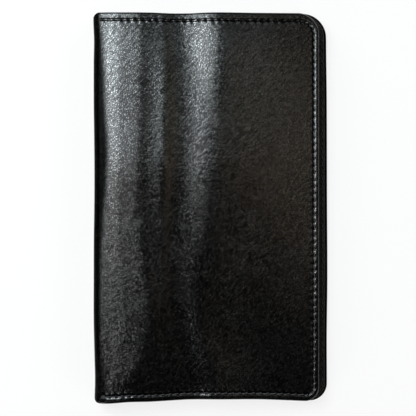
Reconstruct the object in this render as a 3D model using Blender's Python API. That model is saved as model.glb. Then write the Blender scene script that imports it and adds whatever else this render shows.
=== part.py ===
"""Tall leather wallet, closed and lying on its back cover.

The spine is at -X, the opening edge at +X, the long edges run along Y and the front cover faces +Z.
The origin is on the table, under the middle of the closed wallet. Lengths are in metres.

Each half is a stack of layers. A layer is placed by its depth, counted inwards from the half's outer face,
so the back half counts up from the table and the front half counts down from the top.
"""

import math
from collections import namedtuple

import bmesh
import bpy
from mathutils import Matrix, Vector

# Overall sizes
WALLET_WIDTH = 0.1070  # outside of the spine to the free edge of the back cover
WALLET_HEIGHT = 0.1778
FRONT_SETBACK = 0.0040  # the front cover ends this far inside the back cover
BACK_TOP_RADIUS = 0.0116  # corners at the +Y end
BACK_BOTTOM_RADIUS = 0.0078
FRONT_TOP_RADIUS = 0.0097
FRONT_BOTTOM_RADIUS = 0.0062

# Outer leather
COVER_LEATHER = 0.0012
HEM_LEATHER = 0.0009  # skived edge, folded in and glued down
HEM_WIDTH = 0.0090
EDGE_ROLL = 0.0007  # round of the turned edge
FOLD_RADIUS = 0.0030  # outside of each spine fold
SPINE_END_INSET = 0.0010  # the spine's ends stay inside the covers' long edges

# Layers inside the covers
STIFFENER_BOARD = 0.0006
LINING_CLOTH = 0.0004
PANEL_LEATHER = 0.0010
POCKET_LEATHER = 0.0009
SLOT_LEATHER = 0.0007
SLOT_CLOTH = 0.0003

# Places of the pocket openings, counted from the outside of the spine
PANEL_OPENING = 0.0105
FIRST_SLOT_OPENING = 0.0200
SLOT_PITCH = 0.0130
SLOT_ROWS = 3
SHORT_POCKET_OPENING = 0.0460

# A card row takes cards of 85.6 by 54.0 mm, two side by side
CARD_WIDTH = 0.0540
SLOT_EASE = 0.0015  # spare depth behind a card
SLOT_STRIP = 0.0180  # width of the leather strip at the mouth of a card row

# How far the front cover swells outwards over what lies under it
ROLL_SWELL = 0.0015  # beside the spine
VALLEY_SWELL = 0.0012  # between the spine and the thick of the card rows
STACK_SWELL = 0.0018  # over the thick of the card rows
STACK_LEAD = 0.0060  # from the mouth of the last card row to the full swell
SWELL_FADE = 0.0080  # length over which it dies away to the long seams

# Thumb notch of the short pocket
NOTCH_HALF_LENGTH = 0.0110
NOTCH_DEPTH = 0.0080

# Seams
SEAM_INSET = 0.0025  # seam line to the cover's edge
PANEL_INSET = 0.0013  # edge of the inner leather to the cover's edge
THREAD_DIAMETER = 0.00045
THREAD_SINK = 0.0003  # thread centre under the outer leather's face
SEAM_START = 0.0012  # first stitch to the edge it starts from
STEP_RUN = 0.0008  # half the length over which a thread climbs a pocket edge

# Clearances
LAYER_GAP = 0.0003
CLOSED_GAP = 0.0008  # between the two halves of the closed wallet
GROOVE_CLEARANCE = 0.00025
CUT_OVERRUN = 0.0020  # how far a cutter passes the face that it opens

# Fineness of the meshes
CORNER_STEPS = 8
SWELL_STEPS = 4
FOLD_STEPS = 10
ROLL_SEGMENTS = 3
SHARP_ANGLE = math.radians(35)

# Worked out from the sizes above
SPINE_X = -WALLET_WIDTH / 2
BACK_EDGE_X = WALLET_WIDTH / 2
FRONT_EDGE_X = BACK_EDGE_X - FRONT_SETBACK
HALF_HEIGHT = WALLET_HEIGHT / 2
COVER_START_X = SPINE_X + FOLD_RADIUS

STIFFENER_DEPTH = COVER_LEATHER + LAYER_GAP
LINING_DEPTH = max(COVER_LEATHER + HEM_LEATHER, STIFFENER_DEPTH + STIFFENER_BOARD) + LAYER_GAP
PANEL_DEPTH = LINING_DEPTH + LINING_CLOTH + LAYER_GAP
POCKET_DEPTH = PANEL_DEPTH + PANEL_LEATHER + LAYER_GAP
SLOT_RISE = SLOT_LEATHER + LAYER_GAP
BACK_STACK = POCKET_DEPTH + POCKET_LEATHER
FRONT_STACK = POCKET_DEPTH + (SLOT_ROWS - 1) * SLOT_RISE + SLOT_LEATHER
WALLET_THICKNESS = BACK_STACK + CLOSED_GAP + FRONT_STACK

# A quarter bend keeps its length as it opens flat when it turns about this point, in from both outer faces
FOLD_AXIS_INSET = FOLD_RADIUS * (1 - math.pi / 4)

Half = namedtuple("Half", "outer_z inward edge_x bottom_radius top_radius swollen parent")


def arc(centre_x, centre_y, radius, start_degrees, end_degrees, steps):
    """Points along a circular arc, both ends included."""
    points = []
    for step in range(steps + 1):
        angle = math.radians(start_degrees + (end_degrees - start_degrees) * step / steps)
        points.append((centre_x + radius * math.cos(angle), centre_y + radius * math.sin(angle)))
    return points


def cover_outline(left, right, half_height, bottom_radius, top_radius):
    """Straight at the left, round at both right-hand corners, counted anticlockwise."""
    lower = arc(right - bottom_radius, bottom_radius - half_height, bottom_radius, -90, 0, CORNER_STEPS)
    upper = arc(right - top_radius, half_height - top_radius, top_radius, 0, 90, CORNER_STEPS)
    return [(left, -half_height)] + lower + upper + [(left, half_height)]


def strip_outline(left, right, half_height):
    """A plain rectangle, counted anticlockwise."""
    return [(left, -half_height), (right, -half_height), (right, half_height), (left, half_height)]


def notch_points(left):
    """A half-round thumb notch in an opening edge, from its upper end to its lower end."""
    quarter_turns = arc(0, 0, 1, 90, -90, 2 * CORNER_STEPS)
    return [(left + NOTCH_DEPTH * x, NOTCH_HALF_LENGTH * y) for x, y in quarter_turns]


def extruded(outline, thickness):
    """A closed plate over an outline, from z = 0 up to its thickness."""
    bm = bmesh.new()
    corners = [bm.verts.new((x, y, 0.0)) for x, y in outline]
    floor = bm.faces.new(corners)
    top = bmesh.ops.extrude_face_region(bm, geom=[floor])
    raised = [part for part in top["geom"] if isinstance(part, bmesh.types.BMVert)]
    bmesh.ops.translate(bm, verts=raised, vec=(0.0, 0.0, thickness))
    bmesh.ops.recalc_face_normals(bm, faces=bm.faces)
    return bm


def ease(share):
    """A soft start and stop between 0 and 1."""
    share = min(max(share, 0.0), 1.0)
    return share * share * (3 - 2 * share)


def swell_profile():
    """Places along the width, in world x, with the front cover's swell there."""
    second_slot = FIRST_SLOT_OPENING + SLOT_PITCH
    last_slot = FIRST_SLOT_OPENING + (SLOT_ROWS - 1) * SLOT_PITCH
    return [
        (COVER_START_X, 0.0),
        (SPINE_X + PANEL_OPENING, ROLL_SWELL),
        (SPINE_X + second_slot, VALLEY_SWELL),
        (SPINE_X + last_slot + STACK_LEAD, STACK_SWELL),
        (FRONT_EDGE_X - SEAM_INSET, 0.0),
    ]


def swell(x, y):
    """How far the front cover lies outside its edge's plane at one place."""
    height = 0.0
    profile = swell_profile()
    for (start_x, start), (end_x, end) in zip(profile, profile[1:]):
        if start_x <= x <= end_x:
            height = start + (end - start) * ease((x - start_x) / (end_x - start_x))
    return height * ease((HALF_HEIGHT - SEAM_INSET - abs(y)) / SWELL_FADE)


def bulge(bm):
    """Cut a plate into strips where the swell bends, and raise it by the swell without thinning it."""
    profile = swell_profile()
    planes = []
    for (start_x, _), (end_x, _) in zip(profile, profile[1:]):
        for step in range(SWELL_STEPS):
            planes.append(((start_x + (end_x - start_x) * step / SWELL_STEPS, 0.0, 0.0), (1.0, 0.0, 0.0)))
    for step in range(SWELL_STEPS + 1):
        y = HALF_HEIGHT - SEAM_INSET - SWELL_FADE * step / SWELL_STEPS
        planes.append(((0.0, y, 0.0), (0.0, 1.0, 0.0)))
        planes.append(((0.0, -y, 0.0), (0.0, 1.0, 0.0)))
    for point, normal in planes:
        whole = bm.verts[:] + bm.edges[:] + bm.faces[:]
        bmesh.ops.bisect_plane(bm, geom=whole, dist=LAYER_GAP / 1000, plane_co=point, plane_no=normal)
    for vert in bm.verts:
        vert.co.z += swell(vert.co.x, vert.co.y)


def roll_edges(bm, left, amount):
    """Round the long edges of both faces of a plate, but not those on its fold side."""
    rolled = []
    for edge in bm.edges:
        flat = abs(edge.verts[0].co.z - edge.verts[1].co.z) < LAYER_GAP / 10
        on_fold_side = all(vert.co.x < left + LAYER_GAP / 10 for vert in edge.verts)
        if flat and not on_fold_side:
            rolled.append(edge)
    bmesh.ops.bevel(
        bm, geom=rolled, offset=amount, segments=ROLL_SEGMENTS, profile=0.5, affect="EDGES", material=-1
    )


def add_object(name, data, parent=None, location=(0.0, 0.0, 0.0)):
    """Link an object at a place in the world, whatever its parent's own place is."""
    item = bpy.data.objects.new(name, data)
    bpy.context.scene.collection.objects.link(item)
    item.parent = parent
    item.location = Vector(location) - place_of(parent)
    return item


def place_of(parent):
    """World position of an unturned empty, which may hang on another."""
    place = Vector((0.0, 0.0, 0.0))
    while parent is not None:
        place += parent.location
        parent = parent.parent
    return place


def mesh_from(bm, name, material=None):
    """Turn a bmesh into a mesh with soft shading over its round parts."""
    mesh = bpy.data.meshes.new(name)
    bm.to_mesh(mesh)
    bm.free()
    mesh.shade_smooth()
    mesh.set_sharp_from_angle(angle=SHARP_ANGLE)
    if material is not None:
        mesh.materials.append(material)
    return mesh


def make_material(name, colour, roughness):
    """A matt or polished surface with no metal in it."""
    material = bpy.data.materials.new(name)
    material.use_nodes = True
    shader = material.node_tree.nodes["Principled BSDF"]
    shader.inputs["Base Color"].default_value = (*colour, 1.0)
    shader.inputs["Roughness"].default_value = roughness
    shader.inputs["Metallic"].default_value = 0.0
    return material


def depth_z(half, depth):
    """Height above the table of a depth in one half."""
    return half.outer_z + half.inward * depth


def layer_floor(half, depth, thickness):
    """Height above the table of the lower face of a layer."""
    return min(depth_z(half, depth), depth_z(half, depth + thickness))


def add_layer(name, half, outline, depth, thickness, material, swollen=False):
    """One layer of a half, from its depth inwards. A swollen one follows the front cover's swell."""
    bm = extruded(outline, thickness)
    if swollen:
        bulge(bm)
    floor = (0.0, 0.0, layer_floor(half, depth, thickness))
    return add_object(name, mesh_from(bm, name, material), half.parent, floor)


def add_cutter(name, mesh, parent=None, location=(0.0, 0.0, 0.0)):
    """A body that only cuts others."""
    cutter = add_object(name, mesh, parent, location)
    cutter.display_type = "WIRE"
    cutter.hide_render = True
    return cutter


def cut(target, cutter):
    """Take a cutter's shape out of a piece."""
    modifier = target.modifiers.new(cutter.name, "BOOLEAN")
    modifier.operation = "DIFFERENCE"
    modifier.solver = "EXACT"
    modifier.object = cutter


def add_tube(name, points, radius, parent, material=None):
    """A thin round line through points in the world, with closed ends."""
    curve = bpy.data.curves.new(name, "CURVE")
    curve.dimensions = "3D"
    curve.bevel_depth = radius
    curve.bevel_resolution = 2
    curve.use_fill_caps = True
    spline = curve.splines.new("POLY")
    spline.points.add(len(points) - 1)
    for point, place in zip(spline.points, points):
        point.co = (*place, 1.0)
    if material is not None:
        curve.materials.append(material)
    return add_object(name, curve, parent)


def groove_cutter(name, points, parent):
    """A cutter along a thread's path, wider than the thread and run out past both its ends."""
    path = [Vector(point) for point in points]
    path[0] += (path[0] - path[1]).normalized() * CUT_OVERRUN
    path[-1] += (path[-1] - path[-2]).normalized() * CUT_OVERRUN
    tube = add_tube(name + "_path", path, THREAD_DIAMETER / 2 + GROOVE_CLEARANCE, parent)
    bpy.context.view_layer.update()
    mesh = bpy.data.meshes.new_from_object(tube.evaluated_get(bpy.context.evaluated_depsgraph_get()))
    bpy.data.objects.remove(tube)
    bm = bmesh.new()
    bm.from_mesh(mesh)
    bmesh.ops.remove_doubles(bm, verts=bm.verts, dist=GROOVE_CLEARANCE / 100)
    bmesh.ops.recalc_face_normals(bm, faces=bm.faces)
    bm.to_mesh(mesh)
    bm.free()
    return add_cutter(name, mesh, parent)


def seam_path(half, run):
    """A U along the top edge, the free edge and the bottom edge of a half.

    The run gives the thread along a long edge, as pairs of x and depth, from the fold side outwards.
    """
    top_bend = half.top_radius - SEAM_INSET
    bottom_bend = half.bottom_radius - SEAM_INSET
    line_x = half.edge_x - SEAM_INSET
    line_y = HALF_HEIGHT - SEAM_INSET
    last_depth = run[-1][1]
    upper = [(x, line_y, depth_z(half, depth)) for x, depth in run]
    lower = [(x, -line_y, depth_z(half, depth)) for x, depth in reversed(run)]
    bends = arc(line_x - top_bend, line_y - top_bend, top_bend, 90, 0, CORNER_STEPS)
    bends += arc(line_x - bottom_bend, bottom_bend - line_y, bottom_bend, 0, -90, CORNER_STEPS)
    turned = [(x, y, depth_z(half, last_depth)) for x, y in bends]
    return upper + turned + lower


def stepped_run(start_x, surface, steps):
    """A thread's x and depth as it climbs from one leather edge to the next.

    Each step is an edge's x and the depth of the surface behind it.
    """
    run = [(start_x + SEAM_START, surface)]
    for edge_x, higher in steps:
        run.append((edge_x - STEP_RUN, surface))
        run.append((edge_x + STEP_RUN, higher))
        surface = higher
    return run


def add_thread(name, points, parent, material, pieces):
    """A seam thread, bedded in a groove that it presses into each piece it crosses."""
    add_tube(name, points, THREAD_DIAMETER / 2, parent, material)
    groove = groove_cutter(name + "_groove", points, parent)
    for piece in pieces:
        cut(piece, groove)


def add_cover(name, half, material):
    """Outer leather of a half, with its three free edges turned in over the board."""
    outline = cover_outline(COVER_START_X, half.edge_x, HALF_HEIGHT, half.bottom_radius, half.top_radius)
    thickness = COVER_LEATHER + HEM_LEATHER
    bm = extruded(outline, thickness)
    roll_edges(bm, COVER_START_X, EDGE_ROLL)
    window = strip_outline(COVER_START_X - CUT_OVERRUN, half.edge_x - HEM_WIDTH, HALF_HEIGHT - HEM_WIDTH)
    window_height = HEM_LEATHER + CUT_OVERRUN
    window_bm = extruded(window, window_height)
    if half.swollen:
        bulge(bm)
        bulge(window_bm)
    floor = (0.0, 0.0, layer_floor(half, 0.0, thickness))
    cover = add_object(name, mesh_from(bm, name, material), half.parent, floor)
    window_name = name + "_hem_window"
    window_floor = (0.0, 0.0, layer_floor(half, COVER_LEATHER, window_height))
    cut(cover, add_cutter(window_name, mesh_from(window_bm, window_name), half.parent, window_floor))
    return cover


def add_stiffener(name, half, material):
    """Board between the hems of a cover."""
    inset = HEM_WIDTH + LAYER_GAP
    outline = strip_outline(COVER_START_X, half.edge_x - inset, HALF_HEIGHT - inset)
    return add_layer(name, half, outline, STIFFENER_DEPTH, STIFFENER_BOARD, material, half.swollen)


def inner_outline(half, left):
    """Outline of a piece that ends just inside the cover's three free edges."""
    right = half.edge_x - PANEL_INSET
    bottom, top = half.bottom_radius - PANEL_INSET, half.top_radius - PANEL_INSET
    return cover_outline(left, right, HALF_HEIGHT - PANEL_INSET, bottom, top)


def add_lining(name, half, material):
    """Cloth over the board and the hems, caught in the seam."""
    outline = inner_outline(half, COVER_START_X)
    return add_layer(name, half, outline, LINING_DEPTH, LINING_CLOTH, material, half.swollen)


def add_spine(parent, leather, cloth):
    """The flat of the spine, with a hem at each end, and its lining."""
    half_length = HALF_HEIGHT - SPINE_END_INSET
    inner_x = SPINE_X + COVER_LEATHER
    hem_x = inner_x + HEM_LEATHER
    hem_y = half_length - HEM_WIDTH
    outline = [
        (SPINE_X, -half_length),
        (hem_x, -half_length),
        (hem_x, -hem_y),
        (inner_x, -hem_y),
        (inner_x, hem_y),
        (hem_x, hem_y),
        (hem_x, half_length),
        (SPINE_X, half_length),
    ]
    wall_height = WALLET_THICKNESS - 2 * FOLD_RADIUS
    wall = mesh_from(extruded(outline, wall_height), "spine_cover", leather)
    add_object("spine_cover", wall, parent, (0.0, 0.0, FOLD_RADIUS))
    lining_x = SPINE_X + LINING_DEPTH
    lining = strip_outline(lining_x, lining_x + LINING_CLOTH, half_length - PANEL_INSET)
    lining_mesh = mesh_from(extruded(lining, wall_height), "spine_lining", cloth)
    add_object("spine_lining", lining_mesh, parent, (0.0, 0.0, FOLD_RADIUS))


def add_fold(name, centre_z, start_degrees, parent, material):
    """A quarter bend of the outer leather between the spine and a cover."""
    gap_degrees = math.degrees(LAYER_GAP / FOLD_RADIUS)
    first = start_degrees + gap_degrees
    last = start_degrees + 90 - gap_degrees
    outer = arc(0.0, 0.0, FOLD_RADIUS, first, last, FOLD_STEPS)
    inner = arc(0.0, 0.0, FOLD_RADIUS - COVER_LEATHER, last, first, FOLD_STEPS)
    half_length = HALF_HEIGHT - SPINE_END_INSET / 2
    bm = extruded(outer + inner, 2 * half_length)
    bmesh.ops.rotate(bm, verts=bm.verts, matrix=Matrix.Rotation(math.radians(90), 3, "X"))
    mesh = mesh_from(bm, name, material)
    return add_object(name, mesh, parent, (COVER_START_X, half_length, centre_z))


def add_back_half(half, leather, inner_leather, board, cloth, thread):
    """Back cover, its board and lining, and two leather pockets."""
    cover = add_cover("back_cover", half, leather)
    add_stiffener("back_stiffener", half, board)
    add_lining("back_lining", half, cloth)
    slip_x = SPINE_X + PANEL_OPENING
    short_x = SPINE_X + SHORT_POCKET_OPENING
    slip = add_layer(
        "back_slip_pocket", half, inner_outline(half, slip_x), PANEL_DEPTH, PANEL_LEATHER, inner_leather
    )
    notched = inner_outline(half, short_x) + notch_points(short_x)
    short = add_layer("back_short_pocket", half, notched, POCKET_DEPTH, POCKET_LEATHER, inner_leather)
    outer_run = [(COVER_START_X + SEAM_START, THREAD_SINK)]
    add_thread("back_seam_thread", seam_path(half, outer_run), half.parent, thread, [cover])
    inner_run = stepped_run(slip_x, PANEL_DEPTH + PANEL_LEATHER, [(short_x, BACK_STACK)])
    add_thread("back_inner_thread", seam_path(half, inner_run), half.parent, thread, [slip, short])


def add_card_rows(half, inner_leather, cloth):
    """Three overlapping card rows. Each but the last is a leather strip with a cloth pocket body."""
    rows = []
    for row in range(SLOT_ROWS):
        depth = POCKET_DEPTH + row * SLOT_RISE
        left = SPINE_X + FIRST_SLOT_OPENING + row * SLOT_PITCH
        name = f"card_slot_{row + 1}"
        if row == SLOT_ROWS - 1:
            outline = inner_outline(half, left)
        else:
            end_y = HALF_HEIGHT - PANEL_INSET
            outline = strip_outline(left, left + SLOT_STRIP, end_y)
            body_end = left + CARD_WIDTH + SLOT_EASE
            body = strip_outline(left + SLOT_STRIP + LAYER_GAP, body_end, end_y)
            add_layer(name + "_lining", half, body, depth, SLOT_CLOTH, cloth)
        rows.append(add_layer(name, half, outline, depth, SLOT_LEATHER, inner_leather))
    return rows


def add_front_half(half, leather, inner_leather, board, cloth, thread):
    """Front cover, its board and lining, the card panel and the card rows."""
    cover = add_cover("front_cover", half, leather)
    add_stiffener("front_stiffener", half, board)
    add_lining("front_lining", half, cloth)
    panel_x = SPINE_X + PANEL_OPENING
    panel = add_layer(
        "card_panel", half, inner_outline(half, panel_x), PANEL_DEPTH, PANEL_LEATHER, inner_leather
    )
    rows = add_card_rows(half, inner_leather, cloth)
    outer_run = [(COVER_START_X + SEAM_START, THREAD_SINK)]
    add_thread("front_seam_thread", seam_path(half, outer_run), half.parent, thread, [cover])

    row_edges = [SPINE_X + FIRST_SLOT_OPENING + row * SLOT_PITCH for row in range(SLOT_ROWS)]
    row_faces = [POCKET_DEPTH + row * SLOT_RISE + SLOT_LEATHER for row in range(SLOT_ROWS)]
    steps = list(zip(row_edges, row_faces))
    inner_run = stepped_run(panel_x, PANEL_DEPTH + PANEL_LEATHER, steps)
    add_thread("front_inner_thread", seam_path(half, inner_run), half.parent, thread, [panel] + rows)

    divider_run = stepped_run(row_edges[0], row_faces[0], steps[1:])
    divider_run.append((half.edge_x - SEAM_INSET - SEAM_START, row_faces[-1]))
    divider = [(x, 0.0, depth_z(half, depth)) for x, depth in divider_run]
    add_thread("card_divider_thread", divider, half.parent, thread, rows)


def build_wallet():
    """The whole wallet, with the two folds as empties that the moving pieces hang on."""
    for item in list(bpy.data.objects):
        bpy.data.objects.remove(item)
    leather = make_material("outer_leather", (0.012, 0.012, 0.013), 0.34)
    inner_leather = make_material("inner_leather", (0.016, 0.014, 0.013), 0.45)
    board = make_material("board", (0.30, 0.26, 0.20), 0.85)
    cloth = make_material("lining_cloth", (0.020, 0.020, 0.022), 0.80)
    thread = make_material("thread", (0.030, 0.031, 0.034), 0.40)

    back_axis = (SPINE_X + FOLD_AXIS_INSET, 0.0, FOLD_AXIS_INSET)
    front_axis = (SPINE_X + FOLD_AXIS_INSET, 0.0, WALLET_THICKNESS - FOLD_AXIS_INSET)
    back_fold = add_object("back_fold_axis", None, None, back_axis)
    front_fold = add_object("front_fold_axis", None, back_fold, front_axis)

    back = Half(0.0, 1, BACK_EDGE_X, BACK_BOTTOM_RADIUS, BACK_TOP_RADIUS, False, None)
    front = Half(WALLET_THICKNESS, -1, FRONT_EDGE_X, FRONT_BOTTOM_RADIUS, FRONT_TOP_RADIUS, True, front_fold)
    add_back_half(back, leather, inner_leather, board, cloth, thread)
    add_spine(back_fold, leather, cloth)
    add_fold("back_fold_leather", FOLD_RADIUS, 180, back_fold, leather)
    add_fold("front_fold_leather", WALLET_THICKNESS - FOLD_RADIUS, 90, back_fold, leather)
    add_front_half(front, leather, inner_leather, board, cloth, thread)


build_wallet()
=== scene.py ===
import functools
import math

import bmesh
import bpy
from mathutils import Matrix, Vector, noise


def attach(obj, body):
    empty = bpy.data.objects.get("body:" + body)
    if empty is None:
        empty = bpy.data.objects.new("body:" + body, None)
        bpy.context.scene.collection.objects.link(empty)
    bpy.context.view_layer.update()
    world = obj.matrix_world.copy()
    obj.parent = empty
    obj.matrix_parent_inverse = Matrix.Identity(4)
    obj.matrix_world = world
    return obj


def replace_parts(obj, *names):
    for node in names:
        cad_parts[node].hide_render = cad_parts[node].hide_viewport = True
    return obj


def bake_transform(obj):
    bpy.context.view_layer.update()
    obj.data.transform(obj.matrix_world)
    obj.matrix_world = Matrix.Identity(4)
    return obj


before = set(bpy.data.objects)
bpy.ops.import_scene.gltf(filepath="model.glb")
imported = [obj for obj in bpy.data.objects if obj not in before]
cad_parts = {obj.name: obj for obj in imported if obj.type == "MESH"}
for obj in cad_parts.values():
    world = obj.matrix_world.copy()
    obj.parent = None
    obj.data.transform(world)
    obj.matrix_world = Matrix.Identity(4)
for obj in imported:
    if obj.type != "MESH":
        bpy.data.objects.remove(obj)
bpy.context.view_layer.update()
mm = 0.001

# The closed wallet lies on its back cover, spine at -X. Reach is counted from the outside of the spine.
# A flat place (u, v, w) is on the unfolded leather: u from the middle of the spine, v along it, w out of its face.
wallet = {
    "spineX": -53.5 * mm,
    "width": 107.0 * mm,
    "halfHeight": 88.9 * mm,
    "thickness": 13.2 * mm,
    "foldRadius": 3.0 * mm,
    "leather": 0.8 * mm,
    "hemRoll": 1.05 * mm,  # half the height of the turned edge
    "hemNose": 0.60 * mm,  # how far its round part stands out
    "hemSteps": 7,
    "hemRings": (2.2 * mm, 5.0 * mm, 9.0 * mm),  # up to the width of the hem
    "sheetCell": 1.12 * mm,
    "foldCuts": 2,
    "edgeBand": 4.8 * mm,
    "edgeCuts": 3,
    "sharpAngle": math.radians(50),
    "edgeDull": (3, 0.3),  # slope and start of the rubbed share round the turned edge
}

wallRun = wallet["thickness"] / 2 - wallet["foldRadius"]
coverStart = wallRun + wallet["foldRadius"] * math.pi / 2


def flatRun(reach):
    return coverStart + reach - wallet["foldRadius"]


def reachOf(u):
    return u - coverStart + wallet["foldRadius"]


# side is +1 for the half that is wrapped upwards from the spine
frontHalf = {
    "body": "front_half",
    "side": 1,
    "edge": flatRun(103.1 * mm),
    "topCorner": 9.7 * mm,
    "bottomCorner": 6.2 * mm,
    "longer": 0.0,
    # each along the top, the free edge and the bottom: seam line to edge, relief, and how deep the thread sinks
    "seamInset": (3.35 * mm, 2.20 * mm, 2.95 * mm),
    "groove": (0.16 * mm, 0.17 * mm, 0.20 * mm),
    "slit": (0.18 * mm, 0.28 * mm, 0.34 * mm),
    "slitLength": (0.85 * mm, 0.62 * mm, 0.62 * mm),
    "sink": (0.90 * mm, 0.19 * mm, 0.10 * mm),
    "sunk": 0.0,
}
backHalf = {
    "body": "back_half",
    "side": -1,
    "edge": flatRun(wallet["width"]),
    "topCorner": 10.8 * mm,
    "bottomCorner": 7.8 * mm,
    "longer": 0.65 * mm,
    "seamInset": (2.5 * mm, 2.5 * mm, 2.5 * mm),
    "groove": (0.36 * mm, 0.36 * mm, 0.36 * mm),
    "slit": (0.28 * mm, 0.28 * mm, 0.28 * mm),
    "slitLength": (0.62 * mm, 0.62 * mm, 0.62 * mm),
    "sink": (0.42 * mm, 0.42 * mm, 0.42 * mm),
    "sunk": 0.13 * mm,  # keeps the puckers of its face above the ground
}

# How far the soft edges stray from straight: place along the edge and offset, in mm
edgeWaves = {
    "top": [(0, 0), (7, 0), (26, -0.1), (35, -0.45), (44, -0.45), (53, -0.1), (62, -0.1), (76, -0.25), (103, -0.3)],
    "bottom": [
        (0, 0.9), (4, 1.1), (8, 1.0), (16, 0.4), (26, 0.2), (35, -0.3), (44, -0.75), (62, -0.75),
        (76, -0.7), (90, -0.2), (96, 0.05), (107, 0.1),
    ],
    "side": [(-89, 0.35), (-78, 0.35), (-60, 0.3), (-33, 0.6), (4, 0.45), (50, 0.3), (68, 0.1), (78, 0), (89, -0.2)],
    "spine": [
        (-89, 0.35), (-79, 0.55), (-70, 0.3), (-51, -0.14), (-33, -0.14), (-15, -0.1), (4, 0.14), (22, 0.14),
        (49, -0.14), (67, -0.14), (77, 0), (86, -0.3), (89, -0.3),
    ],
    "headPull": 1.7,  # the ends of the spine sit inside the covers' long edges
    "headTurn": math.radians(80),  # angle round the fold over which that fades
    "spineFade": 20,  # reach over which the wave of the spine fades
}


def ease(share):
    share = min(max(share, 0.0), 1.0)
    return share * share * (3 - 2 * share)


def hill(distance, reach):
    return math.exp(-((distance / reach) ** 2))


def curveThrough(points, place):
    # smooth line through (place, value) points
    if place <= points[0][0]:
        return points[0][1]
    for index in range(len(points) - 1):
        (startX, startY), (endX, endY) = points[index], points[index + 1]
        if place > endX:
            continue
        before = points[max(index - 1, 0)]
        after = points[min(index + 2, len(points) - 1)]
        span = endX - startX
        startSlope = (endY - before[1]) / (endX - before[0]) * span
        endSlope = (after[1] - startY) / (after[0] - startX) * span
        t = (place - startX) / span
        bend = startY * (2 * t**3 - 3 * t**2 + 1) + endY * (3 * t**2 - 2 * t**3)
        return bend + startSlope * (t**3 - 2 * t**2 + t) + endSlope * (t**3 - t**2)
    return points[-1][1]


def wander(u, v, size, seed):
    # random level between about -1 and 1
    return noise.noise(Vector((u / size, v / size, seed)))


def foldOver(half, u, v, w):
    # from a flat place to the closed wallet
    fold = wallet["foldRadius"]
    angle = min(max((u - wallRun) / fold, 0.0), math.pi / 2)
    headShare = 1 - ease(angle / edgeWaves["headTurn"])
    reachNow = max(reachOf(u), 0.0) / mm
    wave = edgeWaves["top"] if v > 0 else edgeWaves["bottom"]
    share = min(abs(v) / wallet["halfHeight"], 1.0) ** 3
    shift = (curveThrough(wave, reachNow) - edgeWaves["headPull"] * headShare) * mm * share
    shift += half["longer"] * share
    y = v + shift if v > 0 else v - shift
    spineShare = 1 - ease((reachNow - fold / mm) / edgeWaves["spineFade"])
    spineShift = curveThrough(edgeWaves["spine"], v / mm) * mm * spineShare
    centreX = wallet["spineX"] + fold
    if u <= wallRun:
        x = wallet["spineX"] - w
        rise = u
    elif u <= coverStart:
        x = centreX - (fold + w) * math.cos(angle)
        rise = wallRun + (fold + w) * math.sin(angle)
    else:
        x = centreX + u - coverStart
        rise = wallet["thickness"] / 2 + w
    sideShift = 0.0
    if half["side"] < 0:
        sideShift = curveThrough(edgeWaves["side"], v / mm) * mm * (reachNow * mm / wallet["width"]) ** 4
    return Vector((x + spineShift + sideShift, y, wallet["thickness"] / 2 + half["side"] * rise))


def edgePlace(half, u, v):
    # how far inside the finished edge a flat place is, and how far round that edge
    upper = v >= 0
    radius = half["topCorner"] if upper else half["bottomCorner"]
    centreU = half["edge"] - radius
    centreV = wallet["halfHeight"] - radius
    du, dv = u - centreU, abs(v) - centreV
    if du > 0 and dv > 0:
        inside = radius - math.hypot(du, dv)
        run = centreU + radius * math.atan2(du, dv)
    elif wallet["halfHeight"] - abs(v) < half["edge"] - u:
        inside = wallet["halfHeight"] - abs(v)
        run = min(u, centreU)
    else:
        inside = half["edge"] - u
        run = centreU + radius * math.pi / 2 + centreV - abs(v)
    return inside, run if upper else edgeLength(half) - run


def edgeRuns(half):
    # lengths of the top edge, its corner, the free edge, the lower corner and the bottom edge
    top, low = half["topCorner"], half["bottomCorner"]
    straight = 2 * wallet["halfHeight"] - top - low
    return [half["edge"] - top, top * math.pi / 2, straight, low * math.pi / 2, half["edge"] - low]


def edgeLength(half):
    return sum(edgeRuns(half))


def seamValue(half, run, name):
    # a value of the seam that changes at the two corners
    top, side, bottom = half[name]
    runs = edgeRuns(half)
    pastTop = ease((run - runs[0]) / runs[1])
    pastSide = ease((run - sum(runs[:3])) / runs[3])
    return top + (side - top) * pastTop + (bottom - side) * pastSide


def seamPlace(half, run, outwards=0.0):
    # flat place on the seam line, at a run round the finished edge
    runs = edgeRuns(half)
    top, low, high = half["topCorner"], half["bottomCorner"], wallet["halfHeight"]
    inset = seamValue(half, run, "seamInset") - outwards
    if run < runs[0]:
        return run, high - inset
    run -= runs[0]
    if run < runs[1]:
        angle = math.pi / 2 - run / top
        return half["edge"] - top + (top - inset) * math.cos(angle), high - top + (top - inset) * math.sin(angle)
    run -= runs[1]
    if run < runs[2]:
        return half["edge"] - inset, high - top - run
    run -= runs[2]
    if run < runs[3]:
        angle = -run / low
        return half["edge"] - low + (low - inset) * math.cos(angle), low - high + (low - inset) * math.sin(angle)
    return half["edge"] - low - (run - runs[3]), inset - high


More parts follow.
